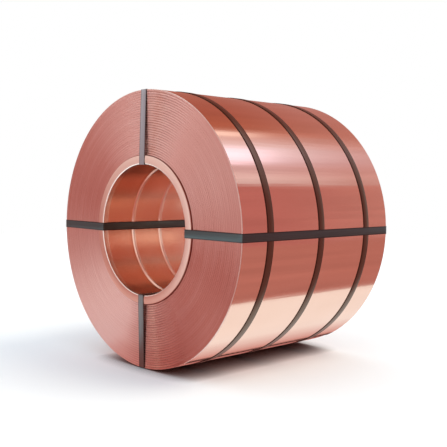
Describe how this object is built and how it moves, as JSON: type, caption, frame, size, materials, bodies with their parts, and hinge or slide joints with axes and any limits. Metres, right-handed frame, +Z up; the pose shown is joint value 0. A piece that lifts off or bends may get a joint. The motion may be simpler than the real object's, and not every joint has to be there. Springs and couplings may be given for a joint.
{
  "type": "strapped copper strip coil",
  "caption": "Coil of copper strip wound on a beaded core sleeve, lying on its side, held by steel belly bands and eye bands with crimped seals.",
  "frame": {"origin": "on the floor, under the middle of the coil's box", "axes": "+Y along the coil's axis, from its front end to its back one; +Z up; +X to the right as the front end is seen"},
  "size_m": [1.088, 0.8622, 1.086],
  "materials": {
    "copper_strip": "bright rolled copper",
    "copper_sleeve": "turned copper",
    "strap_steel": "blued steel strapping",
    "seal_steel": "crimped steel"
  },
  "bodies": {
    "root": {"strip_coil": "copper_strip", "core_sleeve": "copper_sleeve", "belly_band_front": "strap_steel", "belly_band_middle": "strap_steel", "belly_band_back": "strap_steel", "eye_band_right": "strap_steel", "eye_band_top": "strap_steel", "eye_band_left": "strap_steel", "eye_band_bottom": "strap_steel", "belly_seal_front": "seal_steel", "belly_seal_middle": "seal_steel", "belly_seal_back": "seal_steel", "eye_seal_right": "seal_steel", "eye_seal_top": "seal_steel", "eye_seal_left": "seal_steel", "eye_seal_bottom": "seal_steel"}
  },
  "joints": []
}
